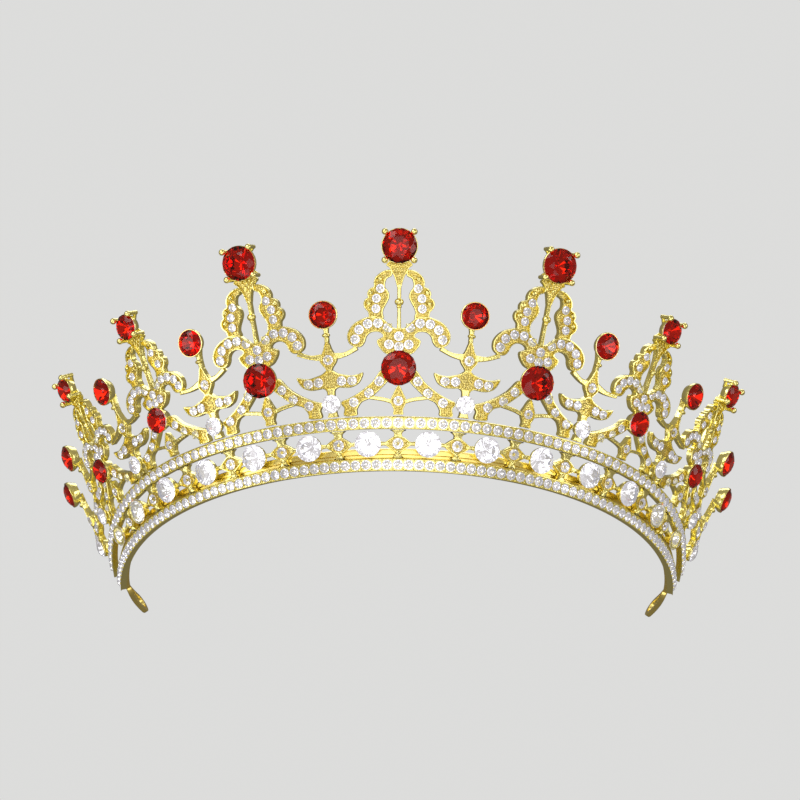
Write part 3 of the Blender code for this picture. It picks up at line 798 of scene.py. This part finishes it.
def lozenge(s, squash, left_cup, right_cup):
    """A flat lozenge, its bars to the cups on either side and its struts to both rails."""
    flat = bmesh.new()
    cast(flat, rounded(symmetric(LOZENGE), 0.3), FINE_RIM, squash, GRAINED_AND_SHADED)
    for side, diameter in ((-1, left_cup), (1, right_cup)):
        end = STONE_STEP / 2 - diameter / 2 + 0.5
        bar = [(side * 1.9 * squash, 0, 0.55), (side * (end - 0.8), 0, 0.42), (side * end, 0, 0.6)]
        cast(flat, strip_outline(bar), DOME)
    high = band_gap(s) / 2 - 0.1
    cast(flat, strip_outline([(0, 1.3 * squash, 1.0), (0, high * 0.75, 0.9), (0, high, 1.9)]), DOME)
    cast(flat, strip_outline([(0, -1.3 * squash, 0.8), (0, -high * 0.78, 0.7), (0, -high, 1.4)]), DOME)
    bead(flat, (0, -2.1 * squash, 0.45), 0.62 * squash, sides=12)
    return flat


def follow_rails(flat, s):
    """Bends a small flat shape into the band at s, where it slopes with the upper rail."""
    bmesh.ops.recalc_face_normals(flat, faces=flat.faces)
    for vertex in flat.verts:
        u, v, e = vertex.co
        vertex.co = wrap(s + u, band_middle(s + u) + v * band_gap(s + u) / band_gap(s), e)


def add_shape(shape, flat):
    """Adds a small finished shape to the shape."""
    mesh = bpy.data.meshes.new("flat")
    flat.to_mesh(mesh)
    flat.free()
    shape.from_mesh(mesh)
    bpy.data.meshes.remove(mesh)


def make_headband(finishes):
    """A flat ribbed strip behind the castings that ends in an eyelet past either tip."""
    front = BACK - GAP
    back = front - STRIP_THICKNESS
    end = HALF_LENGTH + EYELET_NECK
    low, high = STRIP_FOOT, STRIP_FOOT + STRIP_WIDTH
    middle = (low + high) / 2
    sunk = front - 0.3
    edge = (low, sunk), (low + 0.12, front - 0.06), (low + 0.4, front)
    groove = (middle - 0.5, front), (middle - 0.28, sunk), (middle + 0.28, sunk), (middle + 0.5, front)
    far_edge = (high - 0.4, front), (high - 0.12, front - 0.06), (high, sunk)
    profile = ((low, back), *edge, *groove, *far_edge, (high, back))
    shape = long_bar(profile, end + EYELET_OVERLAP, STRIP_CUTS)
    for sign in (-1, 1):
        eyelet(shape, sign, end, middle, back, front)
    bmesh.ops.recalc_face_normals(shape, faces=shape.faces)
    for vertex in shape.verts:
        vertex.co = wrap(*vertex.co)
    piece("headband_strip", shape, finishes["rolled"], ["headband"])


def loop_outline(sign, start, middle, inset):
    """An eyelet's outline, or its slot's, inset from it: two half rounds and two straight sides."""
    radius = EYELET_WIDTH / 2
    near, far = start + radius, start + EYELET_LENGTH - radius
    points = []
    for centre, other, turn in ((far, near, -90), (near, far, 90)):
        for step in range(13):
            angle = math.radians(turn + 15 * step)
            reach = radius - inset
            points.append((sign * (centre + reach * math.cos(angle)), middle + reach * math.sin(angle)))
        last = points[-1][1]
        points += [(sign * (centre + (other - centre) * share / 10), last) for share in range(1, 10)]
    return points


def eyelet(shape, sign, start, middle, back, front):
    """A flat loop with a slot, its edges rounded."""
    edges = []
    for inset in (0.0, EYELET_BAR):
        loop = [shape.verts.new((u, v, back)) for u, v in loop_outline(sign, start, middle, inset)]
        edges += [shape.edges.new(pair) for pair in zip(loop, loop[1:] + loop[:1])]
    flat = bmesh.ops.bridge_loops(shape, edges=edges)["faces"]
    raised = bmesh.ops.extrude_face_region(shape, geom=flat)["geom"]
    top = [item for item in raised if isinstance(item, bmesh.types.BMFace)]
    points = {v for face in top for v in face.verts}
    bmesh.ops.translate(shape, verts=list(points), vec=(0, 0, front - back))
    rims = [e for face in top for e in face.edges if sum(f in top for f in e.link_faces) == 1]
    bmesh.ops.bevel(
        shape, geom=list(set(rims)), offset=EYELET_EDGE, segments=3, profile=0.5, affect="EDGES", material=-1,
        clamp_overlap=True,
    )


# ---------------------------------------------------------------- fleurs and sprigs

def basket(shape, centre, stone, girdle):
    """A cup with four claws that end in round tips over the stone's edge."""
    radius = stone / 2
    reach = radius + CLAW_REACH
    cup(shape, centre, radius + 0.06, girdle - 0.2, 0.2, HIGH_CUP_FOOT)
    for quarter in range(4):
        angle = math.radians(45 + 90 * quarter)
        root, knee, foot, end, tip = (
            Vector((centre[0] + out * math.cos(angle), centre[1] + out * math.sin(angle), height))
            for out, height in (
                (radius * 0.55, -0.4), (reach, 0.1), (reach, -0.4), (reach + 0.05, girdle + 0.45),
                (reach - 0.08, girdle + 0.55),
            )
        )
        post(shape, root, knee, 0.45, 0.5)
        post(shape, foot, end, 0.52, 0.5)
        bead(shape, tip, CLAW_BALL, sides=14)


def girdle_height(diameter):
    """How high a stone's widest part stands, as its solid's does."""
    depth = diameter * STONE_DEPTH_SHARE
    return FRONT + STONE_SEAT + GAP + depth * GIRDLE_SHARE


def fleur_places():
    """(name, s, scale, stone diameter) of the fleurs, from left to right."""
    found = []
    for number, (place, scale) in enumerate(FLEUR_PLACES):
        stone = LARGE_RED if number < LARGE_FLEURS else SMALL_RED
        for side, sign in (("left", -1), ("right", 1)) if number else (("centre", 1),):
            name = f"{side}_{number}" if number else side
            found.append((name, sign * place * PITCH, scale, stone))
    return sorted(found, key=lambda row: row[1])


def sprig_places():
    """(name, s, scale, lean) of the sprigs, from left to right."""
    found = []
    for number, (place, scale, lean) in enumerate(SPRIG_PLACES):
        for side, sign in (("left", -1), ("right", 1)):
            found.append((f"{side}_{number + 1}", sign * place * PITCH, scale, sign * math.radians(lean)))
    return sorted(found, key=lambda row: row[1])


def nearest(places, s, side):
    """The next motif of these on one side of s, if there is one."""
    beyond = [row for row in places if side * (row[1] - s) > 0]
    return min(beyond, key=lambda row: abs(row[1] - s)) if beyond else None


def arm_reach(s, side):
    """How far a fleur's arm runs, to end beside the next sprig's base stone."""
    neighbour = nearest(sprig_places(), s, side)
    height = band_top(s) + SPRIG_BASE
    return abs(neighbour[1] - s) * spread(s, height) - BASE_STONE / 2 - 0.1


def link_end(s, scale, lean, side):
    """Where a link bar meets the next fleur's petal, in the sprig's own flat frame."""
    neighbour, rival = nearest(fleur_places(), s, side), nearest(sprig_places(), s, side)
    if neighbour is None or rival and abs(rival[1] - s) < abs(neighbour[1] - s):
        return None
    _, there, size, _ = neighbour
    height = band_top(there) + FLEUR_PETAL_END[1] * size
    out = there - side * (FLEUR_PETAL_END[0] - 0.3) * size / spread(there, height)
    flat = Vector(((out - s) * spread(s, height), height - band_top(s) - GAP))
    pivot = Vector((0, SPRIG_BASE * scale))
    return Matrix.Rotation(lean, 2) @ (flat - pivot) + pivot


def set_row(gems, beads, stand, places, diameter, stone, scale):
    """Small stones at flat places on a motif, each held by four grains."""
    for number, (u, v) in enumerate(places):
        s, height = stand.place(u * scale, v * scale)
        matrix = surface_matrix(s, height, SMALL_GIRDLE) @ Matrix.Rotation(number * ROW_TWIST + u, 4, "Z")
        set_stone(gems, stone, matrix, diameter / 2)
        out = Matrix.Translation((diameter / 2 + 0.02, 0, 0))
        for quarter in range(4):
            turn = Matrix.Rotation(math.radians(45 + 90 * quarter), 4, "Z")
            grain = surface_matrix(s, height, GRAIN_HEIGHT) @ turn @ out
            bmesh.ops.create_icosphere(beads, subdivisions=1, radius=GRAIN, matrix=grain)


def both(points):
    """The points and those mirrored from them."""
    return [*points, *((-u, v) for u, v in points if u)]


def fleur_casting(s, scale):
    """A fleur, flat: crossbar, shield, pear, spine, and the wing, arm and bridge of either side."""
    shape = bmesh.new()
    cast(shape, rounded(symmetric(CROSSBAR)), RIM, scale, GRAINED_AND_SHADED)
    cast(shape, rounded(symmetric(SHIELD), 0.35), FINE_RIM, scale, GRAINED_AND_SHADED)
    cast(shape, rounded(symmetric(PEAR), 0.35), FINE_RIM, scale, GRAINED_AND_SHADED)
    cast(shape, strip_outline([(0, 30.6, 0.5), (0, 25.0, 0.42), (0, 19.8, 0.5)]), GROOVED, scale)
    for side in (-1, 1):
        stretch = arm_reach(s, side) / (ARM_END * scale)
        wing = WING if side > 0 else mirrored(WING)
        arm = [(u * (1 + (stretch - 1) * min(1.0, u / 9)), v) for u, v in ARM]
        cast(shape, rounded(wing, 0.4), RIM, scale, GRAINED_AND_SHADED)
        cast(shape, rounded(arm if side > 0 else mirrored(arm)), RIM, scale, GRAINED_AND_SHADED)
        cast(shape, strip_outline([(side * u, v, 0.45) for u, v in BRIDGE]), GROOVED, scale)
        for u, v in WING_LOBES:
            bead(shape, (side * u * scale, v * scale, 0.3), 0.75 * scale, 0.8)
    for u, v in SHIELD_DOTS:
        bead(shape, (u * scale, v * scale, 0.35), 0.34 * scale)
    bead(shape, (0, 26.4 * scale, 0.35), 1.1 * scale, 0.85, 14)
    bead(shape, (0, 25.3 * scale, 0.35), 0.62 * scale, 0.7, 12)
    slice_along(shape)
    return shape


def make_fleur(name, s, scale, stone, stones, finishes):
    """A fleur with a red stone in claws at its top, another in a cup at its foot, and small clear ones."""
    stand = Stand(s, scale)
    shape = fleur_casting(s, scale)
    top, low = FLEUR_NECK * scale + stone * NECK_TO_STONE_SHARE, FLEUR_LOW_STONE * scale
    girdle = girdle_height(stone)
    basket(shape, (0, top), stone, girdle)
    cup(shape, (0, low), stone / 2 - 0.1, girdle - 0.5)
    stand.bend(shape)
    gems, beads = bmesh.new(), bmesh.new()
    size = SMALL_STONE * scale ** 0.5
    for row in (both(PETAL_STONES), both(BOAT_STONES), both(ARM_STONES), PEAR_STONES):
        set_row(gems, beads, stand, row, size, stones["small"], scale)
    wings = WING_STONES if stone == LARGE_RED else SMALL_WING_STONES
    set_row(gems, beads, stand, both(wings), size * 0.92, stones["small"], scale)
    piece(f"fleur_{name}_casting", shape, finishes["cast"], [f"fleur_{name}"])
    piece(f"fleur_{name}_stones", gems, finishes["clear"], angle=1.0)
    piece(f"fleur_{name}_grains", beads, finishes["cast"], angle=80.0)
    for word, height in (("top", top), ("low", low)):
        gem = bmesh.new()
        place = surface_matrix(s, band_top(s) + GAP + height, girdle) @ Matrix.Rotation(RED_TWIST, 4, "Z")
        set_stone(gem, stones["red"], place, stone / 2)
        piece(f"red_{word}_{name}_cut", gem, finishes["red"], [f"red_{word}_{name}"], 1.0)


def make_sprig(name, s, scale, lean, stones, finishes):
    """A sprig with a red flower stone, a diamond, two leaves, a base stone and links to its neighbours."""
    stand = Stand(s, scale, lean)
    shape = bmesh.new()
    cast(shape, rounded(symmetric(LEAVES), 0.4), RIM, scale, GRAINED_AND_SHADED)
    cast(shape, rounded(symmetric(DIAMOND), 0.35), FINE_RIM, scale, GRAINED_AND_SHADED)
    cast(shape, strip_outline([(0, 17.6, 0.5), (0, 20.4, 0.55), (0, 22.6, 1.2)]), DOME, scale)
    cast(shape, strip_outline([(0, 6.8, 1.0), (0, 6.0, 0.85), (0, SPRIG_BASE + 1.6, 0.9)]), GROOVED, scale)
    cast(shape, strip_outline([(0, SPRIG_BASE - 1.6, 1.0), (0, 0.8, 1.0), (0, 0.0, 1.3)]), GROOVED, scale)
    for side in (-1, 1):
        end = link_end(s, scale, lean, side)
        if end:
            start = Vector((side * LINK_START[0], LINK_START[1])) * scale
            middle = (start + end) / 2 - Vector((0, 0.5))
            bar = [(*start, 0.85), (*middle, 0.5), (*end, 0.55)]
            cast(shape, strip_outline(bar), GROOVED)
    bead(shape, (0, 19.3 * scale, 0.35), 0.98 * scale, 0.6, 14)
    slice_along(shape)
    girdle = girdle_height(FLOWER_RED)
    cup(shape, (0, SPRIG_STONE * scale), FLOWER_RED / 2 + 0.2, girdle + 0.05, 0.2, HIGH_CUP_FOOT)
    cup(shape, (0, SPRIG_BASE * scale), BASE_STONE / 2 - 0.1, BASE_GIRDLE - 0.45, steps=24)
    stand.bend(shape)
    gems, beads = bmesh.new(), bmesh.new()
    size = SMALL_STONE * scale ** 0.5
    set_row(gems, beads, stand, both(LEAF_STONES), size, stones["small"], scale)
    set_row(gems, beads, stand, ((0.0, 13.5),), size * 1.05, stones["small"], scale)
    piece(f"sprig_{name}_casting", shape, finishes["cast"], [f"sprig_{name}"])
    piece(f"sprig_{name}_stones", gems, finishes["clear"], angle=1.0)
    piece(f"sprig_{name}_grains", beads, finishes["cast"], angle=80.0)
    gem = bmesh.new()
    place, height = stand.place(0, SPRIG_STONE * scale)
    set_stone(gem, stones["red"], surface_matrix(place, height, girdle), FLOWER_RED / 2)
    piece(f"red_flower_{name}_cut", gem, finishes["red"], [f"red_flower_{name}"], 1.0)
    gem = bmesh.new()
    place, height = stand.place(0, SPRIG_BASE * scale)
    set_stone(gem, stones["clear"], surface_matrix(place, height, BASE_GIRDLE), BASE_STONE / 2)
    piece(f"base_stone_{name}", gem, finishes["clear"], angle=1.0)


def make_crown():
    """The whole crown, from its headband out to its motifs."""
    finishes = make_finishes()
    stones = {
        "clear": brilliant("clear_cut", 0.84),
        "red": brilliant("red_cut", 0.64),
        "small": small_cut("small_cut"),
    }
    make_headband(finishes)
    for name, foot, level in (
        ("lower_rail", lambda s: 0.0, True),
        ("upper_rail", lambda s: band_top(s) - rail_height(s), False),
    ):
        make_rail(name, foot, level, finishes)
        make_rail_stones(name, foot, stones["small"], finishes)
    make_lattice(stones, finishes)
    for name, s, diameter, _ in band_stone_places():
        gem = bmesh.new()
        place = surface_matrix(s, band_middle(s), BAND_GIRDLE) @ Matrix.Rotation(s, 4, "Z")
        set_stone(gem, stones["clear"], place, diameter / 2)
        piece(f"{name}_cut", gem, finishes["clear"], [name], 1.0)
    for row in fleur_places():
        make_fleur(*row, stones, finishes)
    for row in sprig_places():
        make_sprig(*row, stones, finishes)


# ---------------------------------------------------------------- studio

def make_floor():
    """A pale floor that is solid from above and lets a low camera see the crown from underneath."""
    finish = Finish("pale_floor", Base_Color=PALE, Roughness=0.6)
    under = finish.node("ShaderNodeNewGeometry", output="Backfacing")
    clear = finish.node("ShaderNodeBsdfTransparent")
    inputs = {0: under, 1: finish.shader.outputs[0], 2: clear}
    finish.end_in("Material Output", finish.node("ShaderNodeMixShader", inputs=inputs))
    shape = bmesh.new()
    bmesh.ops.create_grid(shape, x_segments=1, y_segments=1, size=FLOOR_SIZE / 2)
    mesh = bpy.data.meshes.new("floor")
    shape.to_mesh(mesh)
    shape.free()
    mesh.materials.append(finish.material)
    floor = bpy.data.objects.new("floor", mesh)
    bpy.context.scene.collection.objects.link(floor)
    floor.visible_glossy = False
    floor.visible_transmission = False
    floor.visible_shadow = False


def softbox(name, place, width, height, brightness):
    """A rectangular light that faces the crown."""
    light = bpy.data.lights.new(name, "AREA")
    light.shape = "RECTANGLE"
    light.size, light.size_y = width, height
    light.energy = brightness * math.pi * width * height
    item = bpy.data.objects.new(name, light)
    bpy.context.scene.collection.objects.link(item)
    item.location = place
    item.rotation_mode = "QUATERNION"
    item.rotation_quaternion = (Vector(LIGHTS_AIM) - Vector(place)).to_track_quat("-Z", "Y")


def make_room():
    """A room that is pale to the eye and even on the floor, but warm and darker behind in the gold."""
    world = bpy.data.worlds.new("studio")
    bpy.context.scene.world = world
    world.use_nodes = True
    room = Nodes(world.node_tree)
    room.tree.nodes.remove(room.tree.nodes["Background"])
    direction = room.node("ShaderNodeTexCoord", output="Generated")
    behind = Number(room, room.node("ShaderNodeSeparateXYZ", inputs={0: direction}, output="Y"))
    reached = room.node("ShaderNodeBackground", inputs={"Color": WARM, "Strength": 0.36 - behind * 0.16})
    for ray, strength in (("Is Diffuse Ray", 0.5), ("Is Camera Ray", 0.9)):
        light = room.node("ShaderNodeBackground", inputs={"Color": PALE, "Strength": strength})
        inputs = {0: room.node("ShaderNodeLightPath", output=ray), 1: reached, 2: light}
        reached = room.node("ShaderNodeMixShader", inputs=inputs)
    room.end_in("World Output", reached)


def make_studio():
    make_floor()
    make_room()
    for row in SOFTBOXES:
        softbox(*row)
    bpy.context.scene.view_settings.view_transform = "Standard"


def make_camera():
    """Looks up at the crown's front from below the level of its foot."""
    data = bpy.data.cameras.new("camera")
    data.sensor_width = 36.0
    data.lens = CAMERA_LENS
    data.clip_start, data.clip_end = 0.01, 20.0
    camera = bpy.data.objects.new("camera", data)
    bpy.context.scene.collection.objects.link(camera)
    camera.location = (SHIFT + Vector(CAMERA_PLACE)) * MM
    look = Vector((CAMERA_SIDEWAYS, math.cos(CAMERA_TILT), math.sin(CAMERA_TILT)))
    roll = Matrix.Rotation(CAMERA_ROLL, 3, "Z").to_quaternion()
    camera.rotation_mode = "QUATERNION"
    camera.rotation_quaternion = look.to_track_quat("-Z", "Y") @ roll
    bpy.context.scene.camera = camera


make_crown()
make_studio()
make_camera()
